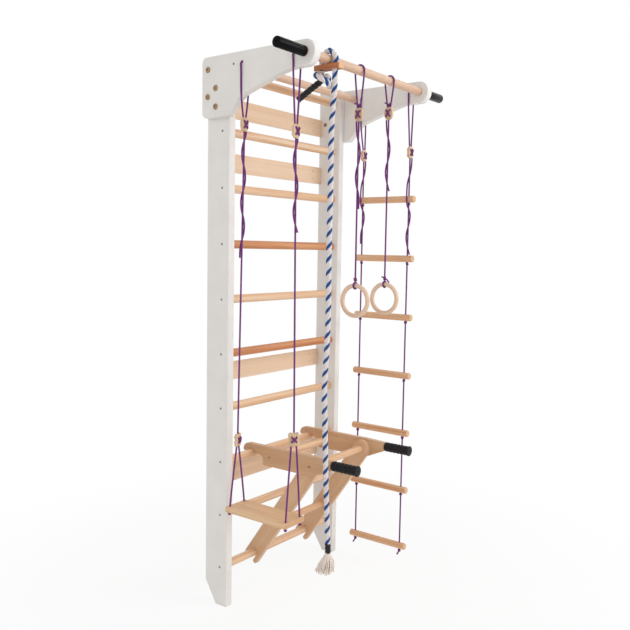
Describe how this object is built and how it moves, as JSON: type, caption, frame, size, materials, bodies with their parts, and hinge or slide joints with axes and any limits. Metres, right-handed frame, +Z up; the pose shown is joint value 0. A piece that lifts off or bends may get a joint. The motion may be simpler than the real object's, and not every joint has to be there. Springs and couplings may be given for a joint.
{
  "type": "wall bars",
  "caption": "Wooden wall bars with bracket plates and a pull-up bar that carry a climbing rope, gym rings, a seat swing and a rope ladder, and a hook-on dip station on the lower rungs.",
  "frame": {"origin": "on the floor, midway along the pull-up bar and midway between the wall and the front of the dip grips", "axes": "+X along the wall to the right as seen from the front, +Y into the wall, +Z up"},
  "size_m": [1.154, 0.616, 2.2],
  "materials": {
    "painted_wood": "white paint, satin",
    "oiled_beech": "clear lacquer, satin",
    "plywood": "clear lacquer, matte",
    "dip_beech": "clear lacquer, satin",
    "natural_wood": "clear lacquer, satin",
    "dark_wood": "clear lacquer, satin",
    "purple_cord": "braided, matte",
    "white_rope": "twisted, white with a blue strand",
    "black_grip": "matte",
    "black_sleeve": "matte",
    "bolt_metal": "dull",
    "screw_metal": "dull"
  },
  "bodies": {
    "frame": {"bar_grips": "black_grip", "brace_bar": "oiled_beech", "bracket_bolts": "bolt_metal", "bracket_plate_left": "painted_wood", "bracket_plate_right": "painted_wood", "frame_screws": "screw_metal", "ladder_loops": "purple_cord", "pull_up_bar": "oiled_beech", "rung_01": "oiled_beech", "rung_02": "oiled_beech", "rung_03": "oiled_beech", "rung_04": "oiled_beech", "rung_05": "oiled_beech", "rung_06": "oiled_beech", "rung_07": "oiled_beech", "rung_08": "oiled_beech", "rung_09": "oiled_beech", "rung_10": "oiled_beech", "splice_dowels": "oiled_beech", "swing_loops": "purple_cord", "upright_left_lower": "painted_wood", "upright_left_upper": "painted_wood", "upright_right_lower": "painted_wood", "upright_right_upper": "painted_wood", "wall_slat_1": "plywood", "wall_slat_2": "plywood", "wall_slat_3": "plywood", "wall_slat_4": "plywood"},
    "rope": {"climbing_rope": "white_rope", "rope_block": "dark_wood", "rope_end_sleeve": "black_sleeve", "rope_tail_sleeve": "black_sleeve", "rope_tassel": "white_rope"},
    "left_ring_set": {"ring_left": "natural_wood", "ring_adjuster_left": "natural_wood", "ring_cord_left": "purple_cord"},
    "right_ring_set": {"ring_right": "natural_wood", "ring_adjuster_right": "natural_wood", "ring_cord_right": "purple_cord"},
    "swing": {"swing_cord_rear": "purple_cord", "swing_cord_front": "purple_cord", "swing_adjusters": "natural_wood", "swing_toggles": "natural_wood", "swing_bridles": "purple_cord", "swing_knots": "purple_cord", "swing_seat": "natural_wood"},
    "rope_ladder": {"ladder_cord_rear": "purple_cord", "ladder_cord_front": "purple_cord", "ladder_adjusters": "natural_wood", "ladder_knots": "purple_cord", "ladder_rungs": "natural_wood"},
    "dip_station": {"dip_arm_left": "dip_beech", "dip_arm_right": "dip_beech", "dip_leg_left": "dip_beech", "dip_leg_right": "dip_beech", "dip_grips": "black_grip", "dip_dowels": "dip_beech", "dip_screws": "screw_metal"}
  },
  "joints": [
    {"name": "climbing_rope_swing", "type": "hinge", "parent": "frame", "child": "rope", "pos_m": [0, -0.2, 2.156], "axis": [-1, 0, 0], "range_deg": [-10, 60]},
    {"name": "left_ring_swing", "type": "hinge", "parent": "frame", "child": "left_ring_set", "pos_m": [0, -0.2, 2.156], "axis": [-1, 0, 0], "range_deg": [-20, 70]},
    {"name": "right_ring_swing", "type": "hinge", "parent": "frame", "child": "right_ring_set", "pos_m": [0, -0.2, 2.156], "axis": [-1, 0, 0], "range_deg": [-20, 70]},
    {"name": "swing_sway", "type": "hinge", "parent": "frame", "child": "swing", "pos_m": [-0.4035, 0.098, 1.938], "axis": [0, 0.9849, 0.1733], "range_deg": [-2, 45]},
    {"name": "rope_ladder_sway", "type": "hinge", "parent": "frame", "child": "rope_ladder", "pos_m": [0.4035, 0.09, 1.907], "axis": [0, -1, 0], "range_deg": [-5, 45]},
    {"name": "dip_bars_lift_off", "type": "slide", "parent": "frame", "child": "dip_station", "axis": [0, -0.5757, 0.8176], "range_m": [0, 0.12]}
  ]
}
